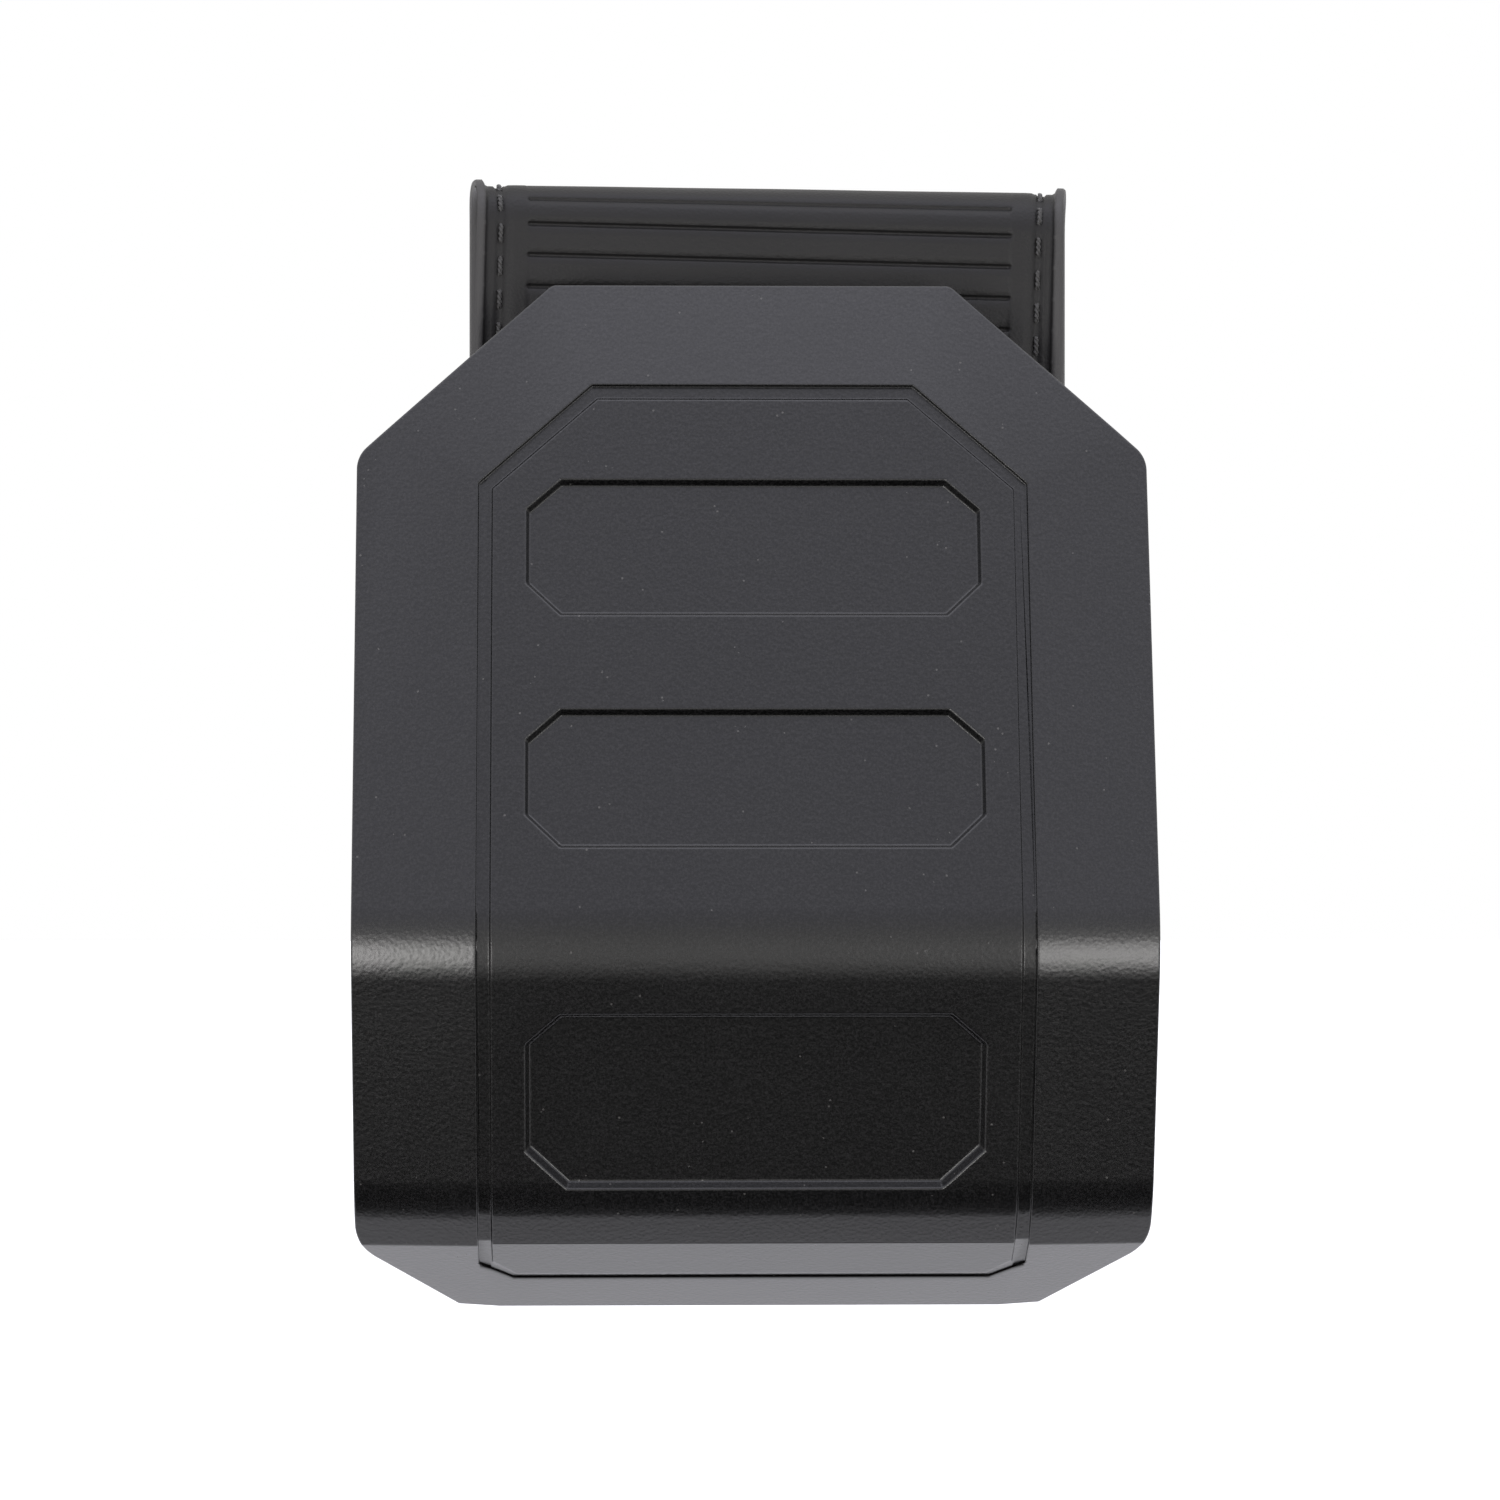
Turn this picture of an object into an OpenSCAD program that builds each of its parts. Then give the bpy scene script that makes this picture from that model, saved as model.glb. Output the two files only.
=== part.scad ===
// Hard-shell belt pouch: a moulded wedge-shaped lid hung on a ribbed, stitched
// fold of soft strap, over a sewn pouch with a belt loop on its back.
// Units: mm. +Z up, front faces -Y, back faces +Y.
// Origin: middle of the belt slot between the pouch back and the belt loop.

/* [Lid shell] */
// Width across the lid shell
shell_w = 120; // [112:1:144]
// Height of the lid above its main bend
upper_h = 100; // [95:1:120]
// Backward lean of the upper plate, degrees
upper_lean = 16.3; // [14:0.1:18]
// Backward undercut of the lower plate, degrees
lower_lean = 16; // [13:0.5:19]
// Moulded wall thickness of the lid
shell_t = 2.6; // [2.2:0.1:3.2]
// Radius of the main bend
bend_r = 20; // [14:1:24]
// Fall of the bevelled border round the centre panel, degrees
bevel_a = 8; // [5:0.5:10]

/* [Centre panel] */
// Half width of the centre panel over its channel
panel_x = 41.5; // [38:0.5:44]
// Width of the channel round the centre panel
channel_w = 2.1; // [1.6:0.1:3]
// Depth of that channel
channel_d = 0.9; // [0.5:0.1:1.2]
// Depth of the two upper eight-sided recesses
recess_d = 1.1; // [0.6:0.1:1.3]
// Depth of the lowest eight-sided recess
low_recess_d = 1.5; // [0.8:0.1:1.6]

/* [Strap hinge] */
// Width of the ribbed strap
strap_w = 91; // [84:1:96]
// Thickness of the ribbed cover
cover_t = 1.6; // [1.4:0.1:2]
// Thickness of the strap lining
lining_t = 0.8; // [0.6:0.1:1]
// Spacing of the grooves across the strap
groove_pitch = 4.85; // [4:0.05:6]

/* [Pouch] */
// How far the pouch's sides stand inside the lid's
pouch_in = 6; // [5.5:0.5:12]
// Height of the pouch mouth above the bend
mouth_z = 38; // [28:1:46]
// Thickness of the pouch cloth
cloth_t = 1.6; // [1.2:0.1:2]
// Thickness of the stiff board in the back
board_t = 2; // [1.6:0.1:2.4]

/* [Belt loop] */
// Height of the belt that fits the loop
belt_h = 50; // [38:1:60]
// Depth of the belt slot
slot_d = 7.2; // [5:0.2:9]
// Width of the belt loop
loop_w = 56; // [48:1:64]
// Thickness of the belt loop webbing
loop_t = 2.4; // [2:0.1:3]

/* [Output] */
// Which sub-part to show

/* [Hidden] */
$fn = 48;
big = 220;
run = 150;
bend_steps = 12;

// Side profile of the lid, measured from the bend: y back, z up.
vert_y = -0.8;
under_z = -39;
under_y = vert_y - under_z * tan(lower_lean);
crease_z = -45.8;
roll_a = 40;
crease_y = under_y + (under_z - crease_z) * tan(roll_a);
roll_r = 18;
flange_a = 65;
rim_y = 41;
lip_z = crease_z - (rim_y - crease_y) / tan(flange_a);

// Front outline of the lid.
half_w = shell_w / 2;
top_x = half_w - 29.5;
shoulder_z = upper_h - 26.6;
hip_z = -46;
hip_x = half_w - 17;
foot_z = lip_z - 1;
shoulder_r = 4.5;
top_r = 2;
hip_r = 7;

// Front outline of the centre panel.
panel_top_z = upper_h - 15.8;
panel_top_x = panel_x - 17.1;
panel_shoulder_z = panel_top_z - 15.1;
panel_foot_z = -51.7;
panel_foot_x = panel_x - 5.2;
panel_ankle_z = panel_foot_z + 2.6;
panel_step = 0.35;

// Recesses: half width, foot, top, corner cuts and wall draft.
recess_x = panel_x - 7;
high_z = [panel_top_z - 35.2, panel_top_z - 14.3];
mid_z = [14.3, 35.1];
low_z = [-37.1, -10.3];
corner_x = 5.3;
corner_z = 4.8;
low_corner = 6.3;
draft_a = 26;

// Layers behind the lid, front to back.
strap_y = rim_y + 1;
strap_t = cover_t + lining_t;
clamp_y = strap_y + strap_t;
clamp_t = 2;
liner_t = 0.8;
liner_y = clamp_y + clamp_t + 1.6;
board_y = liner_y + liner_t;
back_y = board_y + board_t;
leg_y = back_y + cloth_t;
leg_back_y = leg_y + strap_t;
fold_y = (strap_y + leg_back_y) / 2;
fold_r = (leg_back_y - strap_y) / 2;
fold_z = upper_h + 10.2;
front_leg_z = mouth_z + 4;
rim_w = 1.5;
rim_h = 0.8;
seam_x = strap_w / 2 - 3.7;
seam_w = 1.5;
seam_d = 0.5;
field_x = strap_w / 2 - 7.7;
groove_w = 0.6;
groove_d = 0.5;
grooves = 12;
edge_back = 0.8;
split_gap = 0.3;
skin = 0.02;
lid_lining_t = 1;

// Clamp screws.
screw_x = 24;
screw_z = [mouth_z + 14, mouth_z + 38];
boss_r = 4.2;
insert_r = 2.3;
insert_len = 6;
screw_r = 1.45;
screw_head_r = 2.9;
screw_len = 9;
clamp_w = 66;
clamp_z = [mouth_z + 8, mouth_z + 44];

// Pouch.
pouch_x = half_w - pouch_in;
lid_gap = shell_t + 2;
patch_t = 0.8;
patch_x = 22;
patch_y = [24, 37];
panel_in = 3;
bind_t = 0.6;
bind_w = 3.5;
stitch_r = 0.45;

// Belt loop.
slot_y = leg_back_y + slot_d / 2;
slot_h = belt_h + 2;
loop_top_z = upper_h - 22;
loop_foot_z = loop_top_z - slot_h;
slot_z = loop_top_z - slot_h / 2;
loop_y = leg_back_y + slot_d;
ramp_z = 6;
anchor_z = [loop_top_z + ramp_z, loop_top_z + ramp_z + 11];
snap_x = 17;
snap_z = loop_foot_z - ramp_z - 8;
tab_z = snap_z - 9;
back_leg_z = snap_z - 8;
tab_y = leg_back_y + 3.2;
snap_r = 6;
stud_r = 2.4;
snap_gap = 0.3;
post_r = 1.6;
rivet_x = 20;
rivet_z = (anchor_z[0] + anchor_z[1]) / 2;
rivet_r = 1.6;
rivet_head_r = 3.6;

// Colours.
shell_c = [0.27, 0.27, 0.28];
soft_c = [0.2, 0.2, 0.2];
cloth_c = [0.13, 0.13, 0.14];
thread_c = [0.08, 0.08, 0.08];
metal_c = [0.32, 0.32, 0.33];
brass_c = [0.72, 0.58, 0.3];

// Half space of material behind a plane through p, g pointing into it.
module behind(p, g) {
  n = norm(g);
  translate(p) rotate([asin(g[2] / n), 0, atan2(-g[0], g[1])])
    translate([-big, 0, -big]) cube([2 * big, big, 2 * big]);
}

// Points of the corner at p, between p0 and p1, rounded to radius r in n steps.
function unit(v) = v / norm(v);
function corner(p0, p, p1, r, n) = r == 0 ? [p] :
  let (u = unit(p0 - p), v = unit(p1 - p), a = acos(u * v) / 2,
    c = p + unit(u + v) * r / sin(a), s = p + u * r / tan(a) - c,
    e = p + v * r / tan(a) - c, w = acos(s * e / (r * r)))
  [for (i = [0 : n]) c + (s * sin(w * (1 - i / n)) + e * sin(w * i / n)) / sin(w)];
function rounded(pts, rads, n) = let (k = len(pts)) [for (i = [0 : k - 1])
  each corner(pts[(i + k - 1) % k], pts[i], pts[(i + 1) % k], rads[i], n)];

// Solid behind the lid's side profile, run across the whole width.
module side_run() {
  rotate([90, 0, 90]) translate([0, 0, -run / 2]) linear_extrude(run)
    polygon(rounded([[vert_y + 130 * tan(upper_lean), 130], [vert_y, 0],
      [under_y, under_z], [crease_y, crease_z],
      [70, crease_z - (70 - crease_y) / tan(flange_a)], [70, 130]],
      [0, bend_r, roll_r, 0, 0, 0], bend_steps));
}

// The same profile swung back about the edge of the centre panel.
module wing_run() {
  translate([panel_x, 0, 0]) rotate([0, 0, bevel_a]) translate([-panel_x, 0, 0]) side_run();
}

// Outer face of the lid as a deep solid: centre, wings, top and corner bevels.
module face() {
  k = tan(upper_lean);
  b = tan(bevel_a);
  m = norm([panel_top_z - panel_shoulder_z, panel_x - panel_top_x]);
  cx = (panel_top_z - panel_shoulder_z) / m;
  cz = (panel_x - panel_top_x) / m;
  py = vert_y + k * panel_top_z;
  intersection() {
    side_run();
    wing_run();
    mirror([1, 0, 0]) wing_run();
    behind([0, py, panel_top_z], [0, 1, -k - b]);
    behind([panel_top_x, py, panel_top_z], [-b * cx, 1, -k - b * cz]);
    behind([-panel_top_x, py, panel_top_z], [b * cx, 1, -k - b * cz]);
  }
}

// The face moved inward by a depth d, along its normals near enough.
module deep(d) {
  intersection() {
    translate([0, d, 0]) face();
    translate([0, 0.3 * d, 0.95 * d]) face();
  }
}

// Front outline of the lid, drawn in by i.
module outline(i) {
  s = 0.41 * i;
  half = [[top_x - s, upper_h - i], [half_w - i, shoulder_z - s],
    [half_w - i, hip_z + 0.27 * i], [hip_x - 0.35 * i, foot_z + i]];
  r = [top_r, shoulder_r, hip_r, 0];
  polygon(rounded(concat(half, [for (j = [3 : -1 : 0]) [-half[j][0], half[j][1]]]),
    concat(r, [for (j = [3 : -1 : 0]) r[j]]), bend_steps));
}

module prism(i, y0, y1) {
  translate([0, y1, 0]) rotate([90, 0, 0]) linear_extrude(y1 - y0) outline(i);
}

// Centre panel outline drawn in by i along the surface, as a bar along Y. The foot lies on the
// steep flange, so seen from the front its inset is smaller.
module panel_bar(i) {
  s = 0.4 * i;
  c = cos(flange_a);
  translate([0, 90, 0]) rotate([90, 0, 0]) linear_extrude(120)
    polygon([for (p = [[panel_top_x - s, panel_top_z - i], [panel_x - i, panel_shoulder_z - s],
        [panel_x - i, panel_ankle_z + 0.3 * i], [panel_foot_x - 0.2 * i, panel_foot_z + c * i],
        [-panel_foot_x + 0.2 * i, panel_foot_z + c * i], [-panel_x + i, panel_ankle_z + 0.3 * i],
        [-panel_x + i, panel_shoulder_z - s], [-panel_top_x + s, panel_top_z - i]]) p]);
}

// Eight-sided recess with drafted walls: z = [foot, top], lower corner cut c.
module recess(z, d, lean, c) {
  zm = (z[0] + z[1]) / 2;
  hz = (z[1] - z[0]) / 2 / cos(lean);
  y0 = vert_y + abs(zm) * tan(abs(lean));
  f = tan(draft_a);
  translate([0, y0, zm]) rotate([-lean, 0, 0]) intersection() {
    translate([-recess_x - 2, -6, -hz - 2]) cube([2 * recess_x + 4, 6 + d, 2 * hz + 4]);
    behind([recess_x, 0, 0], [-1, -f, 0]);
    behind([-recess_x, 0, 0], [1, -f, 0]);
    behind([0, 0, hz], [0, -f, -1]);
    behind([0, 0, -hz], [0, -f, 1]);
    behind([recess_x - corner_x, 0, hz], [-0.67, -f, -0.74]);
    behind([corner_x - recess_x, 0, hz], [0.67, -f, -0.74]);
    behind([recess_x - c, 0, -hz], [-0.7, -f, 0.72]);
    behind([c - recess_x, 0, -hz], [0.7, -f, 0.72]);
  }
}

module bosses(r, y0, y1) {
  for (x = [-screw_x, screw_x], z = screw_z)
    translate([x, y1, z]) rotate([90, 0, 0]) cylinder(h = y1 - y0, r = r);
}

module lid_shell() {
  color(shell_c) difference() {
    union() {
      difference() {
        intersection() {
          face();
          prism(0, -20, rim_y);
        }
        intersection() {
          deep(shell_t);
          prism(shell_t, -20, rim_y + 5);
        }
      }
      intersection() {
        bosses(boss_r, 0, rim_y + 0.9);
        deep(shell_t - 0.6);
      }
    }
    difference() {
      panel_bar(0);
      deep(panel_step);
    }
    difference() {
      panel_bar(0);
      panel_bar(channel_w);
      deep(channel_d);
    }
    recess(high_z, recess_d + panel_step, upper_lean, corner_x);
    recess(mid_z, recess_d + panel_step, upper_lean, corner_x);
    recess(low_z, low_recess_d + panel_step, -lower_lean, low_corner);
    bosses(insert_r, rim_y + 0.9 - insert_len, rim_y + 2);
    bosses(screw_r + 0.15, rim_y - 10, rim_y + 2);
  }
}

module lid_lining() {
  color(cloth_c) difference() {
    intersection() {
      deep(shell_t + skin);
      prism(shell_t + 3, -20, rim_y - 4);
      translate([-big / 2, -20, -36]) cube([big, 80, upper_h + 26]);
    }
    deep(shell_t + lid_lining_t);
    bosses(boss_r + 0.3, 0, rim_y + 2);
  }
}

module boss_inserts() {
  color(brass_c) difference() {
    bosses(insert_r, rim_y + 0.9 - insert_len, rim_y + 0.9);
    bosses(screw_r, rim_y - 10, rim_y + 2);
  }
}

module clamp_plate() {
  color(metal_c) difference() {
    translate([-clamp_w / 2, clamp_y, clamp_z[0]])
      cube([clamp_w, clamp_t, clamp_z[1] - clamp_z[0]]);
    bosses(screw_r + 0.1, rim_y, rim_y + 20);
    for (x = [-screw_x, screw_x], z = screw_z)
      translate([x, clamp_y + clamp_t + 0.01, z]) rotate([90, 0, 0])
        cylinder(h = screw_head_r - screw_r, r1 = screw_head_r + 0.1, r2 = screw_r + 0.1);
  }
}

module clamp_screws() {
  color(metal_c) for (x = [-screw_x, screw_x], z = screw_z)
    translate([x, clamp_y + clamp_t, z]) rotate([90, 0, 0]) difference() {
      union() {
        cylinder(h = screw_head_r - screw_r, r1 = screw_head_r, r2 = screw_r);
        cylinder(h = screw_len, r = screw_r);
      }
      translate([0, 0, -1]) cylinder(h = 2, r = 1.2, $fn = 6);
    }
}

// Holes for the clamp screws through a layer.
module screw_holes() {
  bosses(screw_r + 0.1, rim_y, rim_y + 20);
}

module strap_cover_front() {
  h = fold_z - front_leg_z - split_gap;
  color(soft_c) difference() {
    union() {
      translate([-strap_w / 2, strap_y, front_leg_z]) cube([strap_w, cover_t, h]);
      for (s = [-1, 1]) translate([s * (strap_w / 2 - rim_w / 2) - rim_w / 2,
        strap_y - rim_h, front_leg_z]) cube([rim_w, rim_h + 0.2, h]);
    }
    for (s = [-1, 1]) translate([s * seam_x - seam_w / 2, strap_y - 1, front_leg_z - 1])
      cube([seam_w, 1 + seam_d, h + 2]);
    for (i = [0 : grooves - 1])
      translate([-field_x, strap_y - 1, fold_z - 5.7 - i * groove_pitch])
        cube([2 * field_x, 1 + groove_d, groove_w]);
    screw_holes();
  }
}

module strap_lining_front() {
  color(cloth_c) difference() {
    translate([-strap_w / 2, strap_y + cover_t, front_leg_z])
      cube([strap_w, lining_t, fold_z - front_leg_z - split_gap]);
    screw_holes();
  }
}

// Upper half of a tube along X round the fold axis.
module half_tube(x0, x1, r0, r1) {
  translate([x0, fold_y, fold_z]) rotate([0, 90, 0]) difference() {
    cylinder(h = x1 - x0, r = r1);
    translate([0, 0, -1]) cylinder(h = x1 - x0 + 2, r = r0);
    translate([0, -big, -1]) cube([big, 2 * big, x1 - x0 + 2]);
  }
}

module back_holes() {
  for (x = [-snap_x, snap_x]) translate([x, 90, snap_z]) rotate([90, 0, 0])
    cylinder(h = 90, r = post_r + 0.1);
  for (x = [-rivet_x, rivet_x]) translate([x, 90, rivet_z]) rotate([90, 0, 0])
    cylinder(h = 90, r = rivet_r + 0.1);
}

module strap_cover_back() {
  w = strap_w / 2 + edge_back;
  color(soft_c) difference() {
    union() {
      half_tube(-w, w, fold_r - cover_t, fold_r);
      for (s = [0, 1]) mirror([s, 0, 0])
        half_tube(strap_w / 2 - rim_w, strap_w / 2, fold_r - cover_t, fold_r + rim_h);
      translate([-w, leg_back_y - cover_t, back_leg_z]) cube([2 * w, cover_t, fold_z - back_leg_z]);
    }
    for (s = [-1, 1]) half_tube(s * seam_x - seam_w / 2, s * seam_x + seam_w / 2,
      fold_r - seam_d, fold_r + 2);
    translate([0, -30, 0]) back_holes();
    back_holes();
  }
}

module strap_lining_back() {
  color(cloth_c) difference() {
    union() {
      half_tube(-strap_w / 2, strap_w / 2, fold_r - strap_t, fold_r - cover_t);
      translate([-strap_w / 2, leg_y, back_leg_z]) cube([strap_w, lining_t, fold_z - back_leg_z]);
    }
    back_holes();
  }
}

module strap_thread_front() {
  color(thread_c) for (x = [-seam_x, seam_x])
    translate([x, strap_y + seam_d - stitch_r - skin, front_leg_z + 2])
      cylinder(h = fold_z - front_leg_z - 2.5, r = stitch_r, $fn = 12);
}

module strap_thread_back() {
  r = fold_r - seam_d;
  color(thread_c) {
    for (x = [-seam_x, seam_x]) half_tube(x - stitch_r, x + stitch_r, r + skin, r + 0.8);
    for (x = [-seam_x, seam_x]) translate([x, leg_back_y + stitch_r + skin, back_leg_z + 2])
      cylinder(h = anchor_z[0] + 12 - back_leg_z, r = stitch_r, $fn = 12);
  }
}

// Block that picks out the closure patches on the flange.
module patch_block(x) {
  translate([-x, patch_y[0], -90]) cube([2 * x, patch_y[1] - patch_y[0], 50]);
}

module hook_patch() {
  color(thread_c) difference() {
    intersection() { deep(shell_t + skin); patch_block(patch_x); }
    deep(shell_t + patch_t);
  }
}

module loop_patch() {
  color(cloth_c) difference() {
    intersection() { deep(lid_gap - patch_t); patch_block(patch_x - 1); }
    deep(lid_gap - skin);
  }
}

// Room of the pouch: behind depth d, drawn in by i, up to the mouth.
module room(d, i, z) {
  intersection() {
    deep(d);
    translate([-pouch_x + i, -20, -80]) cube([2 * (pouch_x - i), liner_y + 20, 80 + z]);
    prism(half_w - pouch_x + i, -20, liner_y);
  }
}

module pouch_front() {
  color(cloth_c) difference() {
    intersection() {
      room(lid_gap, 0, mouth_z);
      translate([-pouch_x + cloth_t, -20, -38]) cube([2 * (pouch_x - cloth_t), 90, 90]);
    }
    deep(lid_gap + cloth_t);
  }
}

module pouch_gusset() {
  color(cloth_c) difference() {
    room(lid_gap, 0, mouth_z);
    intersection() {
      room(lid_gap - 1, cloth_t, mouth_z + 9);
      union() {
        deep(lid_gap + cloth_t);
        translate([-big / 2, -30, -38]) cube([big, 100, 120]);
      }
    }
    translate([-big / 2, -30, mouth_z]) cube([big, 100, 20]);
  }
}

module pouch_liner() {
  color(soft_c) difference() {
    room(lid_gap + cloth_t + 0.02, cloth_t + 0.02, mouth_z - 1);
    room(lid_gap + cloth_t + 0.7, cloth_t + 0.7, mouth_z + 9);
  }
}

module mouth_binding() {
  color(thread_c) difference() {
    intersection() {
      room(lid_gap - bind_t, -bind_t, mouth_z + bind_t);
      translate([-big / 2, -20, mouth_z - bind_w]) cube([big, liner_y + 19.5, 20]);
    }
    room(lid_gap - skin, -0.02, mouth_z + 0.02);
    room(lid_gap + cloth_t + 0.7 + bind_t, cloth_t + 0.7 + bind_t, mouth_z + 20);
  }
}

module pouch_back() {
  color(cloth_c) difference() {
    prism(panel_in, back_y, leg_y);
    back_holes();
  }
}

module back_board() {
  color([0.1, 0.1, 0.1]) difference() {
    prism(panel_in + 1.5, board_y, back_y);
    back_holes();
  }
}

module back_liner() {
  color(soft_c) difference() {
    prism(panel_in, liner_y, board_y);
    back_holes();
  }
}

module back_binding() {
  color(thread_c) difference() {
    prism(panel_in - bind_t, liner_y - bind_t, leg_y + bind_t);
    prism(panel_in - skin, liner_y - skin, leg_y + skin);
    prism(panel_in + bind_w, liner_y - 5, leg_y + 5);
    translate([-strap_w / 2 - 1, leg_y - 1, back_leg_z - 1]) cube([strap_w + 2, 20, 200]);
    intersection() {
      translate([-pouch_x - 1, liner_y - 5, -80]) cube([2 * pouch_x + 2, 5, 80 + mouth_z + 1]);
      room(lid_gap - 1, -1, mouth_z + 1);
    }
  }
}

// Thread round the front edge of the gusset.
module front_seam() {
  color(thread_c) difference() {
    intersection() {
      deep(lid_gap - stitch_r);
      for (s = [-1, 1]) translate([s * (pouch_x - 4) - stitch_r, -20, -36])
        cube([2 * stitch_r, 70, mouth_z - bind_w + 35]);
    }
    deep(lid_gap - skin);
  }
}

module loop_slab(pts) {
  translate([-loop_w / 2, 0, 0]) rotate([90, 0, 90]) linear_extrude(loop_w) polygon(pts);
}

module belt_loop_anchor() {
  y = leg_back_y;
  color(cloth_c) difference() {
    loop_slab([[y, anchor_z[0]], [y + loop_t, anchor_z[0]], [y + loop_t, anchor_z[1]],
      [y, anchor_z[1]]]);
    back_holes();
  }
}

module belt_loop_flap() {
  y = leg_back_y;
  z0 = anchor_z[0] - split_gap;
  t = loop_t;
  color(cloth_c) difference() {
    loop_slab([[y, z0], [y, z0 - 1], [loop_y, loop_top_z], [loop_y, loop_foot_z],
      [tab_y, loop_foot_z - ramp_z], [tab_y, tab_z], [tab_y + t, tab_z],
      [tab_y + t, loop_foot_z - ramp_z + 1], [loop_y + t, loop_foot_z + 1],
      [loop_y + t, loop_top_z - 1], [y + t, z0 - 2], [y + t, z0]]);
    back_holes();
  }
}

module loop_thread() {
  y = leg_back_y + loop_t;
  x = rivet_x - 5.5;
  color(thread_c) {
    for (z = [anchor_z[0] + 3, anchor_z[1] - 3])
      translate([-x, y + stitch_r + skin, z]) rotate([0, 90, 0])
        cylinder(h = 2 * x, r = stitch_r, $fn = 12);
    for (s = [-x, x]) translate([s, y + stitch_r + skin, anchor_z[0] + 3])
      cylinder(h = anchor_z[1] - anchor_z[0] - 6, r = stitch_r, $fn = 12);
  }
}

module anchor_rivets() {
  y = leg_back_y + loop_t;
  color(metal_c) for (x = [-rivet_x, rivet_x]) translate([x, y + 1.4, rivet_z]) rotate([90, 0, 0]) {
    cylinder(h = 0.8, r1 = rivet_head_r - 1.2, r2 = rivet_head_r);
    translate([0, 0, 0.8]) cylinder(h = 0.6, r = rivet_head_r);
    cylinder(h = y + 1.4 - liner_y + 1, r = rivet_r);
  }
}

module rivet_washers() {
  color(metal_c) for (x = [-rivet_x, rivet_x]) translate([x, liner_y, rivet_z]) rotate([90, 0, 0])
    difference() {
      cylinder(h = 0.8, r = rivet_head_r);
      translate([0, 0, -1]) cylinder(h = 3, r = rivet_r + 0.02);
    }
}

module snap_caps() {
  y = tab_y + loop_t;
  color(metal_c) for (x = [-snap_x, snap_x]) translate([x, y, snap_z]) rotate([-90, 0, 0]) {
    cylinder(h = 0.7, r = snap_r + 0.5);
    translate([0, 0, 0.7]) cylinder(h = 0.7, r1 = snap_r + 0.5, r2 = snap_r - 1.2);
    translate([0, 0, -loop_t]) cylinder(h = loop_t, r = post_r);
  }
}

module snap_sockets() {
  color(metal_c) for (x = [-snap_x, snap_x]) translate([x, tab_y, snap_z]) rotate([90, 0, 0])
    difference() {
      cylinder(h = 2, r = snap_r);
      translate([0, 0, 0.4]) cylinder(h = 3, r = stud_r + snap_gap);
    }
}

module snap_studs() {
  y = leg_back_y;
  color(metal_c) for (x = [-snap_x, snap_x]) translate([x, y, snap_z]) rotate([-90, 0, 0])
    difference() {
      union() {
        cylinder(h = 0.8, r = snap_r);
        cylinder(h = 2, r = stud_r - snap_gap);
        translate([0, 0, 1.6]) cylinder(h = 0.8, r = stud_r);
      }
      translate([0, 0, -1]) cylinder(h = 2.2, r = post_r);
    }
}

module snap_posts() {
  color(metal_c) for (x = [-snap_x, snap_x]) translate([x, liner_y - 0.8, snap_z])
    rotate([-90, 0, 0]) {
      cylinder(h = 0.8, r = snap_r - 1);
      cylinder(h = leg_back_y - liner_y + 0.8 + 1.1, r = post_r);
    }
}

translate([0, -slot_y, -slot_z]) {
  lid_shell();
  lid_lining();
  boss_inserts();
  clamp_plate();
  clamp_screws();
  strap_cover_front();
  strap_lining_front();
  strap_cover_back();
  strap_lining_back();
  strap_thread_front();
  strap_thread_back();
  hook_patch();
  loop_patch();
  pouch_front();
  pouch_gusset();
  pouch_liner();
  mouth_binding();
  pouch_back();
  back_board();
  back_liner();
  back_binding();
  front_seam();
  belt_loop_anchor();
  belt_loop_flap();
  loop_thread();
  anchor_rivets();
  rivet_washers();
  snap_caps();
  snap_sockets();
  snap_studs();
  snap_posts();
}
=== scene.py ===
import math

import bmesh
import bpy
import numpy as np
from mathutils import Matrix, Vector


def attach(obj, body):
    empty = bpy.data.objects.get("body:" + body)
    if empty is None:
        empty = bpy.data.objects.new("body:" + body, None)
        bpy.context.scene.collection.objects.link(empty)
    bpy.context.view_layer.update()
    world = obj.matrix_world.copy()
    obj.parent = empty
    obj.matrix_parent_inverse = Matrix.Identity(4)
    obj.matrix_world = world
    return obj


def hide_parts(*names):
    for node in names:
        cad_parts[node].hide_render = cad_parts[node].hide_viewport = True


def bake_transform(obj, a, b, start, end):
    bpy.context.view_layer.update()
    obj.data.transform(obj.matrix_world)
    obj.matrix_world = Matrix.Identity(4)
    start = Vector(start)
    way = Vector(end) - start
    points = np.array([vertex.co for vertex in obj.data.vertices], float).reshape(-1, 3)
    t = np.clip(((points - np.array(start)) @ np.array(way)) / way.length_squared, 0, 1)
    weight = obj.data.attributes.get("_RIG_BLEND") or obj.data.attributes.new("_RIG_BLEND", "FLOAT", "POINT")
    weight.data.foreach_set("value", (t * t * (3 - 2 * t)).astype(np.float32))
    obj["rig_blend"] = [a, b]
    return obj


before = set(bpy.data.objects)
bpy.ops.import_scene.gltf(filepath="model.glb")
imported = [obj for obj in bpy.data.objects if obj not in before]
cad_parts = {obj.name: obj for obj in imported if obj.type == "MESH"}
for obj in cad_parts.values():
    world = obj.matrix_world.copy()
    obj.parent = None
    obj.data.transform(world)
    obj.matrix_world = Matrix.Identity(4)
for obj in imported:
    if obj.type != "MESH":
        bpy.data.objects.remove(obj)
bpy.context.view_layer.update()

# ---------------------------------------------------------------- studio
# The pouch hangs level in front of a long lens, over a pale floor that starts under it. A white
# surround closes the back, a soft sky hangs above, and two low soft boxes flank the lens.
MM = 0.001
lens_gap = 0.8
frame_width = 0.2214
turn = math.radians(-1.6)
bend_y = -58.4 * MM
eye_z = -23.2 * MM
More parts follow.
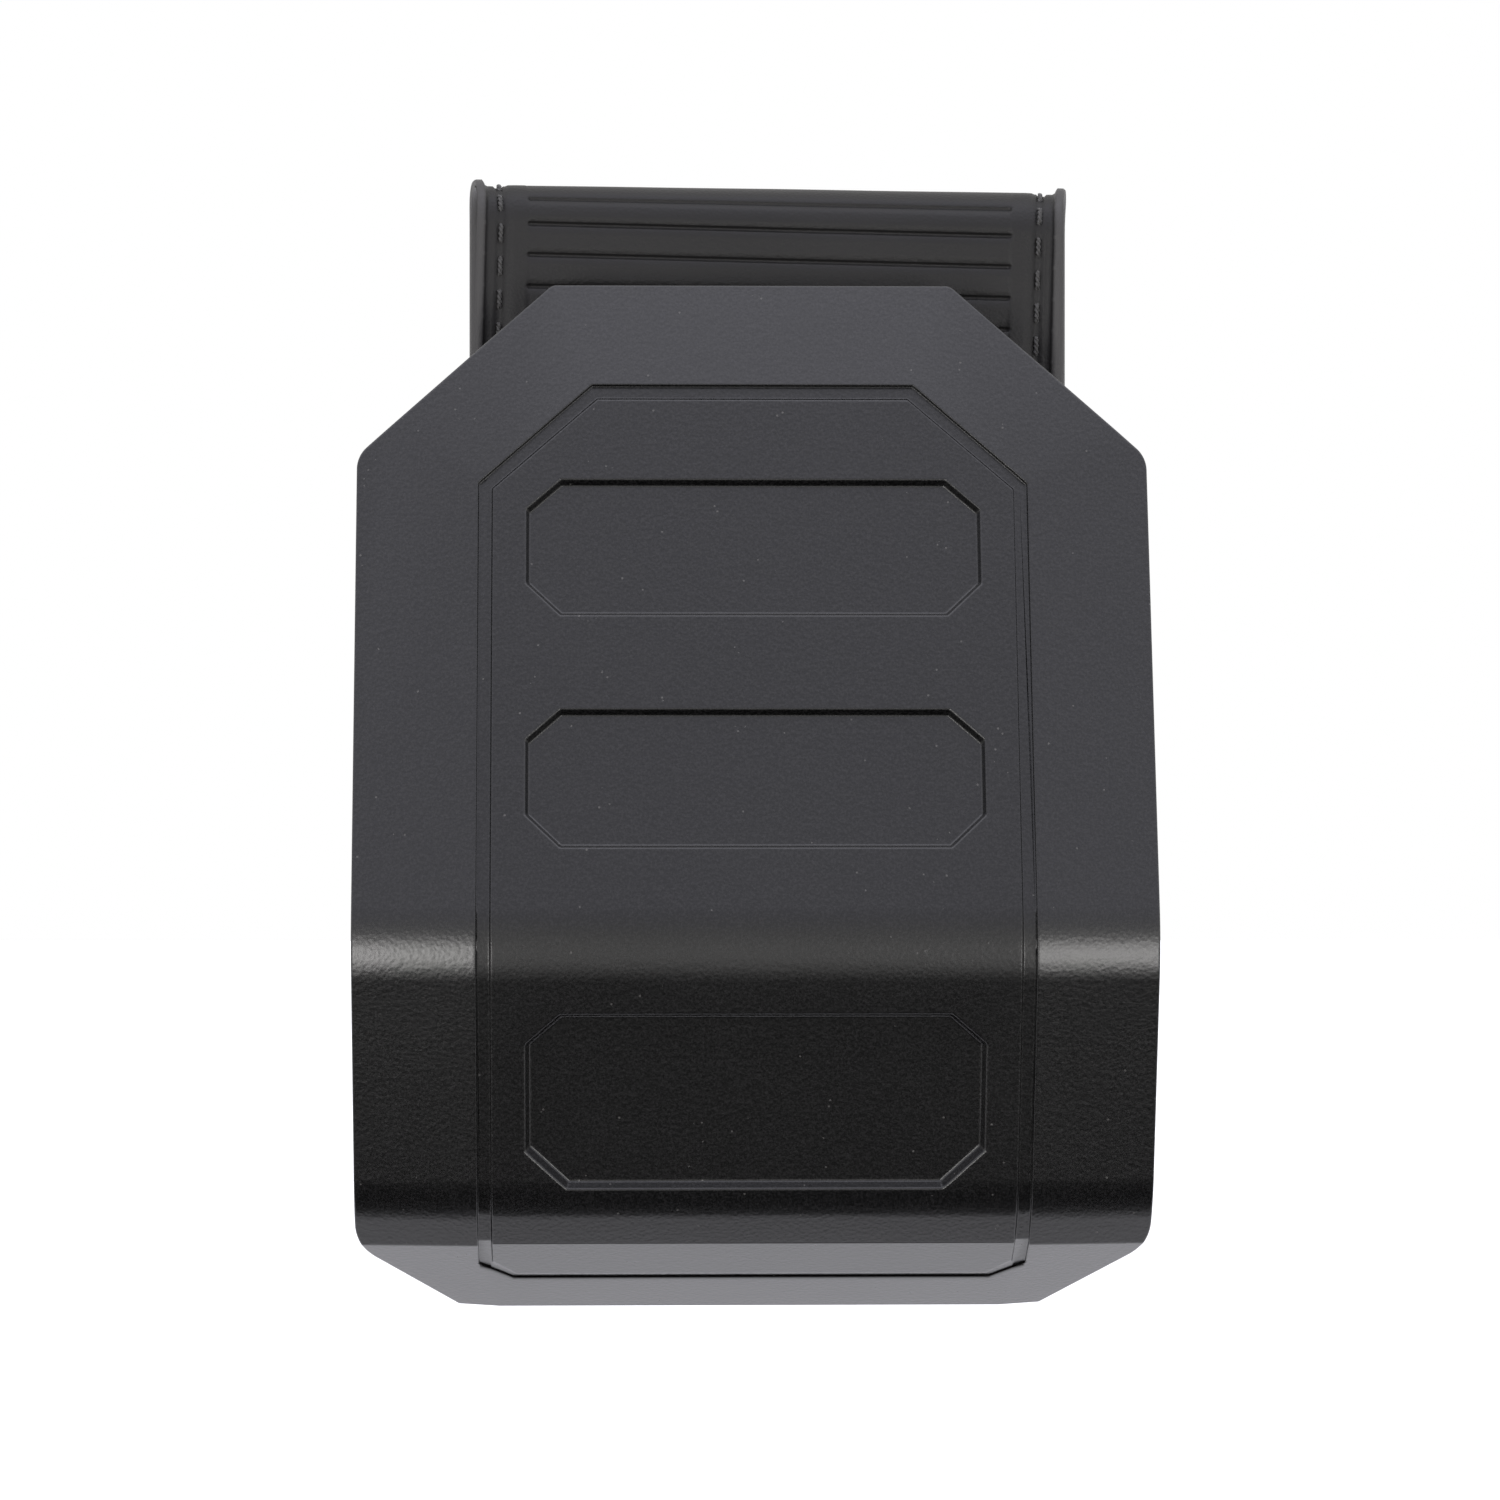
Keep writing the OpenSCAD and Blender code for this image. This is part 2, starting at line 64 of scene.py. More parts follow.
aim_x = -1.03 * MM

camera_data = bpy.data.cameras.new("front_camera")
camera_data.sensor_width = 36
camera_data.lens = 36 * lens_gap / frame_width
camera_data.clip_start, camera_data.clip_end = 0.02, 20
camera = bpy.data.objects.new("front_camera", camera_data)
bpy.context.scene.collection.objects.link(camera)
camera.location = (aim_x + lens_gap * math.sin(turn), bend_y - lens_gap * math.cos(turn), eye_z)
camera.rotation_euler = (math.pi / 2, 0, turn)
bpy.context.scene.camera = camera
bpy.context.scene.view_settings.view_transform = "Standard"
bpy.context.scene.view_settings.look = "None"


class Wire:
    """A node's output. Arithmetic on it adds Math nodes."""

    def __init__(self, tree, socket):
        self.tree, self.socket = tree, socket

    def node(self, kind, settings=None, inputs=None, output=0):
        """Adds any node: its type, its settings, and the values or wires of its sockets."""
        made = self.tree.nodes.new("ShaderNode" + kind)
        for key, value in (settings or {}).items():
            setattr(made, key, value)
        for key, value in (inputs or {}).items():
            if isinstance(value, Wire):
                self.tree.links.new(value.socket, made.inputs[key])
            else:
                made.inputs[key].default_value = value
        return Wire(self.tree, made.outputs[output])

    def maths(self, operation, *values):
        return self.node("Math", {"operation": operation}, dict(enumerate(values)))

    def to(self, operation, *more):
        return self.maths(operation, self, *more)

    def __add__(self, other): return self.maths("ADD", self, other)
    def __radd__(self, other): return self.maths("ADD", other, self)
    def __sub__(self, other): return self.maths("SUBTRACT", self, other)
    def __rsub__(self, other): return self.maths("SUBTRACT", other, self)
    def __mul__(self, other): return self.maths("MULTIPLY", self, other)
    def __rmul__(self, other): return self.maths("MULTIPLY", other, self)
    def __abs__(self): return self.to("ABSOLUTE")
    def __gt__(self, other): return self.maths("GREATER_THAN", self, other)
    def __lt__(self, other): return self.maths("LESS_THAN", self, other)

    def step(self, low, high):
        """0 below low, 1 above high, smooth between."""
        return self.node("MapRange", {"interpolation_type": "SMOOTHSTEP"},
                         {"Value": self, "From Min": low, "From Max": high}, "Result")

    def tint(self, low, high):
        """The colour low where the value is 0, high where it is 1."""
        return self.node("Mix", {"data_type": "RGBA"}, {
            0: self, 6: low if isinstance(low, Wire) else (*low, 1),
            7: high if isinstance(high, Wire) else (*high, 1)}, 2)


def link(name, mesh):
    piece = bpy.data.objects.new(name, mesh)
    bpy.context.scene.collection.objects.link(piece)
    return piece


class Finish:
    """One material: a Principled surface and its tree."""

    def __init__(self, name, **values):
        self.material = bpy.data.materials.new(name)
        self.material.use_nodes = True
        self.tree = self.material.node_tree
        self.surface = self.tree.nodes["Principled BSDF"]
        for key, value in values.items():
            self.surface.inputs[key.replace("_", " ")].default_value = value
        self.node = Wire(self.tree, None).node
        self.place = self.node("TexCoord", output="Object")

    def axes(self, vector=None):
        split = self.node("SeparateXYZ", None, {0: vector or self.place})
        return [Wire(self.tree, out) for out in split.socket.node.outputs]

    def noise(self, scale, detail=2.0):
        return self.node("TexNoise", None, {"Vector": self.place, "Scale": scale,
                                            "Detail": detail})

    def set(self, **wires):
        for key, wire in wires.items():
            self.tree.links.new(wire.socket, self.surface.inputs[key.replace("_", " ")])

    def bump(self, height, depth, strength=1.0, softened=0.0):
        """Relief from a height, over edges softened to a radius in metres."""
        sockets = {"Height": height, "Distance": depth, "Strength": strength}
        if softened:
            sockets["Normal"] = self.node("Bevel", {"samples": 6}, {"Radius": softened})
        self.set(Normal=self.node("Bump", None, sockets))


floor_finish = Finish("pale_floor", Roughness=0.85, Emission_Color=(1, 1, 1, 1),
                      Emission_Strength=0.1)
floor_finish.set(Base_Color=floor_finish.noise(6.0).tint((0.86, 0.86, 0.86), (0.9, 0.9, 0.9)))
floor_mesh = bpy.data.meshes.new("floor")
floor_mesh.from_pydata([(-6, -0.08, -0.3), (6, -0.08, -0.3), (6, 7, -0.3), (-6, 7, -0.3)],
                       [], [(0, 1, 2, 3)])
floor = link("floor", floor_mesh)
floor_mesh.materials.append(floor_finish.material)

surround = bpy.data.worlds.new("surround")
surround.use_nodes = True
bpy.context.scene.world = surround
sky = Wire(surround.node_tree, None)
aim = sky.node("SeparateXYZ", None, {0: sky.node("TexCoord", output="Generated")}).socket.node
across, ahead, up = (Wire(sky.tree, out) for out in aim.outputs)
rear = ahead.step(-0.12, 0.3)
above = up.step(-0.54, -0.29)
# soft boxes: beside the lens and a little below it
beside = abs(across).step(0.23, 0.31) * (1 - abs(across).step(0.4, 0.5))
boxes = beside * up.step(-0.41, -0.26) * (1 - up.step(-0.1, 0.07))
crown = (up - 0.5).to("MAXIMUM", 0.0)
front = above * 0.83 + crown * 4.0 + abs(across) * above * 0.75 + (1 - above) * 0.005 \
    + boxes * (12.5 - across * 3.5)
glow = rear + (1 - rear) * front
seen = sky.node("LightPath", output="Is Camera Ray")
hue = (up.step(0.1, 0.4) * (1 - rear)).tint((1, 0.985, 0.97), (0.98, 0.98, 1.09))
backing = surround.node_tree.nodes["Background"]
for socket_name, wire in (("Color", seen.tint(hue, (1, 1, 1))),
                          ("Strength", seen + (1 - seen) * glow)):
    surround.node_tree.links.new(wire.socket, backing.inputs[socket_name])

# ---------------------------------------------------------------- lid shell
# Injection-moulded hard plastic with a fine spark-eroded grain. The mould leaves a small radius
# on every edge, the matt skin picks up dust, and a painted shade line darkens the foot's crease.


def settled(piece):
    """Gives a piece the mesh that its modifiers make."""
    bpy.context.view_layer.update()
    mesh = bpy.data.meshes.new_from_object(
        piece.evaluated_get(bpy.context.evaluated_depsgraph_get()))
    piece.modifiers.clear()
    piece.data = mesh
    return mesh


def refined(name, node, width, angle, segments=2, shape=None):
    """A copy of a hard part with its flats merged, its edges rounded and its points reshaped."""
    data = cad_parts[node].data.copy()
    data.materials.clear()
    work = bmesh.new()
    work.from_mesh(data)
    bmesh.ops.remove_doubles(work, verts=work.verts, dist=2e-6)
    bmesh.ops.dissolve_limit(work, angle_limit=math.radians(0.4), verts=work.verts,
                             edges=work.edges)
    work.to_mesh(data)
    work.free()
    for extra in [a.name for a in data.attributes
                  if a.name.startswith("custom_normal") or a.name == "sharp_edge"]:
        data.attributes.remove(data.attributes[extra])
    data.shade_smooth()
    piece = link(name, data)
    edge = piece.modifiers.new("edge", "BEVEL")
    edge.width, edge.segments, edge.limit_method = width, segments, "ANGLE"
    edge.angle_limit, edge.use_clamp_overlap = math.radians(angle), False
    mesh = settled(piece)
    if shape:
        spots = np.array([v.co for v in mesh.vertices])
        mesh.vertices.foreach_set("co", shape(spots).astype(np.float32).ravel())
        mesh.update()
    even = piece.modifiers.new("even", "WEIGHTED_NORMAL")
    even.keep_sharp, even.weight = False, 100
    settled(piece)
    return piece


def shallow_foot(spots):
    """Fills the channel under the foot to a quarter of its depth, from the crease down."""
    crease, inward, filled = np.array([0, -42.31, -97.8]) * MM, np.array([0, 0.4226, 0.9063]), 0.75
    depth = (spots[:, 1] - crease[1]) * inward[1] + (spots[:, 2] - crease[2]) * inward[2]
    there = (abs(spots[:, 0]) < 41.6 * MM) & (spots[:, 2] > -104.6 * MM) \
        & (depth > 0) & (depth < 1.1 * MM)
    fill = depth * there * filled * np.clip((-97.9 * MM - spots[:, 2]) / (0.8 * MM), 0, 1)
    return spots - np.outer(fill, inward)


moulded = Finish("moulded_shell")
pits = moulded.node("TexVoronoi", {"feature": "SMOOTH_F1"},
                    {"Vector": moulded.place, "Scale": 1500.0, "Smoothness": 0.5})
drift = moulded.noise(38.0, 3.0)
flecks = moulded.node("TexVoronoi", None, {"Vector": moulded.place, "Scale": 700.0})
dust = (flecks < 0.12) * (moulded.noise(330.0, 0.0) > 0.69) * 0.3
lid_x, _, lid_z = moulded.axes()
# Painted shade: a thin band along the foot's crease is made metallic over the near-black base, so it loses
# its reflection and reads as a dark line.
crease_shade_line = (1 - abs(lid_z + 97.47 * MM).step(0.04 * MM, 0.16 * MM)) \
    * (abs(lid_x) < 39.3 * MM)
grain = moulded.noise(2900.0)
moulded.set(Base_Color=dust.tint(grain.step(0.4, 0.68).tint((0.0016, 0.0016, 0.0017),
                                                            (0.0082, 0.008, 0.0083)),
                                 (0.14, 0.135, 0.128)),
            Roughness=0.24 + drift * 0.05 + dust * 0.3, Metallic=crease_shade_line)
moulded.bump(pits * 0.8 + grain * 0.5, 0.00015, 0.15, 0.3 * MM)

shell = refined("shell_skin", "lid_shell", 0.24 * MM, 6.0, 3, shallow_foot)
shell.data.materials.append(moulded.material)
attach(shell, "lid")
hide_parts("lid_shell")

# ---------------------------------------------------------------- boss inserts
# Turned brass bushes, pressed hot into the four bosses behind the lid. Their faces are dull
# from handling, with fine turning marks round the bore.
brass = Finish("brass_bush", Metallic=1.0)
worn = brass.noise(900.0, 3.0)
brass.set(Base_Color=worn.tint((0.42, 0.27, 0.1), (0.6, 0.43, 0.18)), Roughness=0.28 + worn * 0.2)
brass.bump(brass.noise(2400.0), 0.00006, 0.4)
inserts = refined("brass_bushes", "boss_inserts", 0.12 * MM, 25.0)
inserts.data.materials.append(brass.material)
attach(inserts, "lid")
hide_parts("boss_inserts")

# ---------------------------------------------------------------- lid lining
# A single layer of brushed cloth glued to the inside of the lid, cut round the four bosses, with
# a line of fine stitches just inside its turned edge.


def row(x, y, z):
    """Millimetres from the lid's bend to metres in the row's frame."""
    return np.stack(np.broadcast_arrays(x, y - 58.4, z - 52.0), -1) * MM


def bend_arc(a, b, c, radius, steps=12):
    """Points of the rounded corner at b."""
    a, b, c = (np.array(p, float) for p in (a, b, c))
    u, v = (a - b) / np.linalg.norm(a - b), (c - b) / np.linalg.norm(c - b)
    half = math.acos(u @ v) / 2
    centre = b + (u + v) / np.linalg.norm(u + v) * radius / math.sin(half)
    s, e = b + u * radius / math.tan(half) - centre, b + v * radius / math.tan(half) - centre
    sweep = math.acos(np.clip(s @ e / radius ** 2, -1, 1))
    return [centre + (s * math.sin(sweep * (1 - t)) + e * math.sin(sweep * t)) / math.sin(sweep)
            for t in np.linspace(0, 1, steps + 1)]


lean, under, bevel = (math.tan(math.radians(a)) for a in (16.3, 16, 8))
under_y = -0.8 + 39 * under
crease_y = under_y + 6.8 * math.tan(math.radians(40))
steep = math.tan(math.radians(65))
top_point, bend_point, under_point = (-0.8 + 200 * lean, 200), (-0.8, 0), (under_y, -39)
crease_point, tail_point = (crease_y, -45.8), (crease_y + 40 * steep, -85.8)
side_line = np.array([tail_point, crease_point,
                      *bend_arc(bend_point, under_point, crease_point, 18)[::-1],
                      *bend_arc(top_point, bend_point, under_point, 20)[::-1], top_point])


def lid_y(x, z, depth):
    """How far back the lid's wall lies at x, z, at a depth inside its outer face."""
    def skin(z):
        centre = np.interp(z, side_line[:, 1], side_line[:, 0])
        wing = centre / math.cos(math.atan(bevel)) + (abs(x) - 41.5) * bevel
        top = -0.8 + 84.2 * lean + (lean + bevel) * (z - 84.2)
        slant = -0.8 + 84.2 * lean + (lean + bevel * 0.749) * (z - 84.2) \
            + bevel * 0.662 * (abs(x) - 24.4)
        return np.maximum.reduce([centre + 0 * x, wing, top + 0 * x, slant])
    return np.maximum(skin(z) + depth, skin(z - 0.95 * depth) + 0.3 * depth)


def fabric(name, outer, thick, turned=False, rim=0.35):
    """A layer of cloth whose outer side passes through a grid of points, with rounded edges.
    Its weave coordinates run along the grid, in metres."""
    outer = np.asarray(outer, float)
    rows, cols = outer.shape[:2]
    normal = np.cross(np.gradient(outer, axis=0), np.gradient(outer, axis=1))
    normal /= np.maximum(np.linalg.norm(normal, axis=-1, keepdims=True), 1e-12)
    if turned:
        normal = -normal
    inner = outer - normal * thick
    ring = [(0, j) for j in range(cols)] + [(i, cols - 1) for i in range(1, rows)] \
        + [(rows - 1, j) for j in range(cols - 2, -1, -1)] \
        + [(i, 0) for i in range(rows - 2, 0, -1)]
    middle = []
    for i, j in ring:
        k, m = min(max(i, 1), rows - 2), min(max(j, 1), cols - 2)
        away = outer[i, j] - outer[k, m]
        away /= max(np.linalg.norm(away), 1e-12)
        middle.append((outer[i, j] + inner[i, j]) / 2 + away * thick * rim)
    along = np.zeros((rows, cols))
    along[1:] = np.cumsum(np.linalg.norm(np.diff(outer, axis=0), axis=-1), axis=0)
    over = np.zeros((rows, cols))
    over[:, 1:] = np.cumsum(np.linalg.norm(np.diff(outer, axis=1), axis=-1), axis=1)
    over -= over[:, -1:] / 2
    lay = np.stack([over, along, np.zeros_like(over)], -1)
    n = rows * cols
    at = lambda i, j: i * cols + j
    faces = []
    for i in range(rows - 1):
        for j in range(cols - 1):
            quad = (at(i, j), at(i + 1, j), at(i + 1, j + 1), at(i, j + 1))
            faces += [quad, tuple(n + q for q in reversed(quad))]
    for k, (i, j) in enumerate(ring):
        p, q = ring[(k + 1) % len(ring)]
        a, b = 2 * n + k, 2 * n + (k + 1) % len(ring)
        faces += [(at(i, j), at(p, q), b, a), (a, b, n + at(p, q), n + at(i, j))]
    mesh = bpy.data.meshes.new(name)
    mesh.from_pydata(np.concatenate([outer.reshape(-1, 3), inner.reshape(-1, 3),
                                     np.array(middle)]).tolist(), [], faces)
    work = bmesh.new()
    work.from_mesh(mesh)
    bmesh.ops.recalc_face_normals(work, faces=work.faces)
    work.to_mesh(mesh)
    work.free()
    mesh.shade_smooth()
    spots = np.concatenate([lay.reshape(-1, 3), lay.reshape(-1, 3),
                            np.array([lay[i, j] for i, j in ring])])
    mesh.attributes.new("lay", "FLOAT_VECTOR", "POINT").data.foreach_set(
        "vector", spots.astype(np.float32).ravel())
    return link(name, mesh)


def joined(name, pieces):
    """Several meshes as one piece."""
    work = bmesh.new()
    for piece in pieces:
        work.from_mesh(piece.data)
    mesh = bpy.data.meshes.new(name)
    work.to_mesh(mesh)
    work.free()
    for piece in pieces:
        bpy.data.objects.remove(piece)
    mesh.shade_smooth()
    return link(name, mesh)


def stitches(name, path, lift, pitch, radius, fill=0.82, strands=2, turns=2.2, sag=0.5):
    """Single twisted stitches along a path of points, standing on the side that lift gives."""
    path, lift = np.asarray(path, float), np.asarray(lift, float)
    run = np.concatenate([[0], np.cumsum(np.linalg.norm(np.diff(path, axis=0), axis=1))])
    count = max(int(run[-1] / pitch), 1)
    step = run[-1] / count
    verts, faces = [], []
    rings, sides = 9, 5
    for k in range(count):
        s = (k + 0.5) * step + np.linspace(-0.5, 0.5, rings) * step * fill
        mid = np.stack([np.interp(s, run, path[:, a]) for a in range(3)], -1)
        out = np.stack([np.interp(s, run, lift[:, a]) for a in range(3)], -1)
        out /= np.linalg.norm(out, axis=1, keepdims=True)
        along_way = np.gradient(mid, axis=0)
        along_way /= np.linalg.norm(along_way, axis=1, keepdims=True)
        aside = np.cross(along_way, out)
        u = np.linspace(-1, 1, rings)
        mid = mid - out * (radius * sag * 2 * u ** 6)[:, None]
        for strand in range(strands):
            spin = 2 * math.pi * (strand / strands + turns * (u + 1) / 2) + k
            off = radius * 0.46 if strands > 1 else 0
            core = mid + off * (np.cos(spin)[:, None] * aside + np.sin(spin)[:, None] * out)
            girth = radius * (0.62 if strands > 1 else 1) * np.clip(1.15 - u ** 8, 0.3, 1)
            base = len(verts)
            for r in range(rings):
                for a in range(sides):
                    t = 2 * math.pi * a / sides
                    verts.append(core[r] + girth[r] * (math.cos(t) * aside[r]
                                                       + math.sin(t) * out[r]))
            for r in range(rings - 1):
                for a in range(sides):
                    b = (a + 1) % sides
                    faces.append((base + r * sides + a, base + r * sides + b,
                                  base + (r + 1) * sides + b, base + (r + 1) * sides + a))
            faces.append(tuple(base + a for a in range(sides)))
            faces.append(tuple(base + (rings - 1) * sides + a for a in reversed(range(sides))))
    mesh = bpy.data.meshes.new(name)
    mesh.from_pydata([tuple(v) for v in verts], [], faces)
    mesh.shade_smooth()
    return link(name, mesh)


def woven(name, weft, warp, dark, light, roughness, depth, **values):
    """Cloth finish: threads across and along at their own pitches, in metres."""
    cloth = Finish(name, **values)
    lay = cloth.node("Attribute", {"attribute_name": "lay"}, None, "Vector")
    u, v, _ = cloth.axes(lay)
    a = (u * (math.pi / weft)).to("SINE")
    b = (v * (math.pi / warp)).to("SINE")
    over = (a * b) > 0
    height = abs(a) * over + abs(b) * (1 - over)
    fuzz = cloth.noise(1800.0, 3.0)
    wear = cloth.noise(26.0, 3.0)
    # Painted shade: the colour is lighter on the raised threads and darker where they dip under, mixed with
    # random fibre tone and patchy wear.
    weave_shade_and_fuzz = height * 0.65 + fuzz * 0.35
    cloth.set(Base_Color=(weave_shade_and_fuzz * (0.7 + wear * 0.6)).tint(dark, light),
              Roughness=roughness + fuzz * 0.12 - height * 0.08)
    cloth.bump(height + fuzz * 0.35, depth, 0.8)
    return cloth


def outline(inset):
    """Corners of the lid's right half seen from the front, foot first, drawn in by inset."""
    return [(43 - 0.35 * inset, -58.42 + inset), (60 - inset, -46 + 0.27 * inset),
            (60 - inset, 73.4 - 0.41 * inset), (30.5 - 0.41 * inset, 100 - inset)]


def rim_half(z, inset):
    """Half width of that outline at height z."""
    halves, heights = zip(*outline(inset))
    return np.interp(z, heights, halves)


def sway(x, z, seed):
    """A slow, small unevenness, from 0 to 1."""
    return 0.5 + 0.25 * (np.sin(x * 0.21 + seed) * np.cos(z * 0.17 + 2 * seed)
                         + np.sin(x * 0.09 - z * 0.13 + 3 * seed))


def ring_span(low, high, middle, rim=(0.0, 0.35, 1.1)):
    """Positions from low to high with close ones at both ends."""
    rim = np.array(rim)
    return np.concatenate([low + rim, np.linspace(low + rim[-1], high - rim[-1], middle)[1:-1],
                           high - rim[::-1]])


lining_cloth = woven("brushed_lining", 0.55 * MM, 0.55 * MM, (0.008, 0.008, 0.0085),
                     (0.045, 0.044, 0.046), 0.85, 0.00012, Sheen_Weight=0.25,
                     Sheen_Roughness=0.5)
levels = ring_span(-36, 90, 62)[:, None]
spread = ring_span(-1, 1, 46, (0.0, 0.008, 0.024))[None, :]
wide = spread * rim_half(levels, 5.6)
lining_grid = row(wide, lid_y(wide, levels, 2.72) + 0.12 * sway(wide, levels, 1), levels)
lining = fabric("lid_lining_cloth", lining_grid, 0.8 * MM, turned=True)
lining.data.materials.append(lining_cloth.material)
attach(lining, "lid")
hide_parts("lid_lining")


def flat_size(grid):
    """Width, length and area of a grid of cloth laid flat."""
    grid = np.asarray(grid)
    width = np.linalg.norm(np.diff(grid, axis=1), axis=-1).sum(axis=1).max()
    length = np.linalg.norm(np.diff(grid, axis=0), axis=-1).sum(axis=0).max()
    a = np.linalg.norm(np.cross(grid[1:, 1:] - grid[:-1, :-1], grid[1:, :-1] - grid[:-1, 1:]),
                       axis=-1).sum() / 2
    return (float(width), float(length)), float(min(a, width * length))


size, cut = flat_size(lining_grid)

dark_thread = Finish("black_thread", Sheen_Weight=0.2)
lint = dark_thread.noise(3000.0, 3.0)
dark_thread.set(Base_Color=lint.tint((0.006, 0.006, 0.006), (0.05, 0.05, 0.052)),
                Roughness=0.5 + lint * 0.2)
dark_thread.bump(lint, 0.0001, 0.6)


def inside_line(heights, side, inset, depth):
    x = side * rim_half(heights, inset)
    return row(x, lid_y(x, heights, depth), heights)


inner_heights = np.linspace(-33.5, 87.5, 90)
lining_path = np.concatenate([
    inside_line(inner_heights, 1, 8.6, 3.62),
    row(np.linspace(28, -28, 20), lid_y(np.linspace(28, -28, 20), 87.5, 3.62), 87.5),
    inside_line(inner_heights[::-1], -1, 8.6, 3.62)])
lining_seam = stitches("lining_stitches", lining_path, np.tile([0, 1, 0], (len(lining_path), 1)),
                       3.0 * MM, 0.24 * MM, strands=1)
lining_seam.data.materials.append(dark_thread.material)
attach(lining_seam, "lid")

# ---------------------------------------------------------------- hook patch
# Hook tape glued and sewn inside the lid's lip. Rows of short nylon hooks stand on a woven base.


def lip_z(y, depth):
    """Height of the lid's foot at y, at a depth inside its outer face."""
    return -45.8 + 0.95 * depth - (y - 0.3 * depth - crease_y) / steep


def lip_grid(half, low, high, depth, cols, rows):
    x = ring_span(-half, half, cols)[None, :]
    y = ring_span(low, high, rows)[:, None]
    return row(x, y, lip_z(y, depth))


nylon = Finish("nylon_hooks", Roughness=0.42)
gloss = nylon.noise(2200.0)
nylon.set(Base_Color=gloss.tint((0.01, 0.01, 0.01), (0.03, 0.03, 0.03)))
nylon.bump(gloss, 0.00006, 0.5)
tape_base = fabric("hook_tape", lip_grid(22, 24, 37, 3.02, 34, 12), 0.4 * MM, turned=True)
lip_up = np.array([0, math.cos(math.radians(65)), math.sin(math.radians(65))])
lip_run = np.array([0, math.sin(math.radians(65)), -math.cos(math.radians(65))])
across_lip = np.array([1.0, 0, 0])
work = bmesh.new()
work.from_mesh(tape_base.data)
for i, x in enumerate(np.arange(-20.4, 20.5, 1.2)):
    for j, y in enumerate(np.arange(25.2, 36.2, 1.0)):
        foot = row(x + 0.3 * (j % 2), y, lip_z(y, 3.02))
        lean_way = 1 if (i + j) % 2 else -1
        ring_pts = []
        for t in np.linspace(0, 1, 5):
            swing = t * 2.4
            spot = foot + lip_up * 0.34 * MM * math.sin(min(swing, 1.75)) \
                + lip_run * lean_way * 0.16 * MM * (1 - math.cos(swing))
            ring_pts.append([work.verts.new(spot + across_lip * 0.07 * MM * math.cos(a)
                                            + lip_run * 0.07 * MM * math.sin(a))
                             for a in (0.8, 2.4, 3.9, 5.5)])
        for one, two in zip(ring_pts, ring_pts[1:]):
            for k in range(4):
                work.faces.new((one[k], one[(k + 1) % 4], two[(k + 1) % 4], two[k]))
        work.faces.new(ring_pts[-1])
work.to_mesh(tape_base.data)
work.free()
tape_base.data.shade_smooth()
tape_base.data.materials.append(nylon.material)
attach(tape_base, "lid")
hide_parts("hook_patch")

# ---------------------------------------------------------------- clamp plate and screws
# A pressed steel plate holds the strap's front leg on the lid's bosses with four countersunk
# hexagon-socket screws. Both are blacked, and rub bright at their edges.
steel = Finish("blacked_steel", Metallic=0.9)
scuff = steel.noise(700.0, 4.0)
streak = steel.noise(60.0, 2.0)
steel.set(Base_Color=scuff.tint((0.02, 0.02, 0.021), (0.07, 0.07, 0.072)),
          Roughness=0.34 + streak * 0.2)
steel.bump(scuff, 0.00005, 0.5)
for name, node in (("pressed_plate", "clamp_plate"), ("socket_screws", "clamp_screws")):
    part = refined(name, node, 0.2 * MM, 25.0)
    part.data.materials.append(steel.material)
    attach(part, "lid")
    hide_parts(node)

# ---------------------------------------------------------------- strap cover
# Soft moulded strap that hangs the lid: raised rims, a sewing channel inside each, and grooves
# across the field between. It runs up the front, folds over and is sewn down the pouch's back,
# where it is cut a little wider. Sewn by hand, it sits slightly askew on the lid.
fold_y, fold_z, fold_r = 48.4, 110.2, 6.4
front_run, back_run = 68.2, 106.2
arc_run = math.pi * fold_r
shift_x = 3.3
askew = math.radians(1.35)
strap_half, back_extra = 45.5, 1.5
rim_inner, rim_outer, rim_lift = (43.85, 44.3), (45.15, 45.5), 0.8
field_edge, field_sink, groove_depth = (37.2, 37.75), 0.14, 0.5


def strap_spot(x, s, height):
    """A point of the strap: x across, s along from the front leg's foot, height off its face."""
    s = np.asarray(s + 0 * x, float)
    x = x + 0 * s
    bent = np.clip((s - front_run) / fold_r, 0, math.pi)
    r = fold_r + height
    y = np.where(s < front_run, fold_y - r,
                 np.where(s < front_run + arc_run, fold_y - r * np.cos(bent), fold_y + r))
    z = np.where(s < front_run, fold_z - (front_run - s),
                 np.where(s < front_run + arc_run, fold_z + r * np.sin(bent),
                          fold_z - (s - front_run - arc_run)))
    skew = askew * (1 - np.clip((s - front_run) / arc_run, 0, 1))
    below = z - fold_z
    return row(x + shift_x + below * np.sin(skew), y, z - x * np.sin(skew))


groove_runs = [front_run + g for g in (3.9, -0.6, -5.4, -10.3)] \
    + [front_run - 15.15 - 4.85 * k for k in range(9)]
s_line = [0, 0.3, 1.0]
for g in sorted(groove_runs):
    s_line += [g - 1.6, g - 0.5, g - 0.34, g - 0.2, g + 0.2, g + 0.34, g + 0.5, g + 1.6]
s_line += list(np.linspace(front_run + 6.2, front_run + arc_run, 12))
s_line += list(front_run + arc_run + ring_span(0, back_run, 34)[1:])
s_line = np.array(sorted(s for s in s_line if s >= 0))[:, None]
half_line = [0, 5, 10, 15, 20, 25, 30, 34, 36.9, 37.25, 37.5, 37.7, 38.0, 39.4, 40.3, 40.7, 41.0,
             41.3, 41.8, 42.3, 42.6, 43.0, 43.5, 43.8, 43.95, 44.1, 44.3, 44.8, 45.2, 45.38, 45.5]
x_line = np.array([-x for x in half_line[:0:-1]] + half_line)[None, :]


def ease(value, low, high):
    t = np.clip((value - low) / (high - low), 0, 1)
    return t * t * (3 - 2 * t)


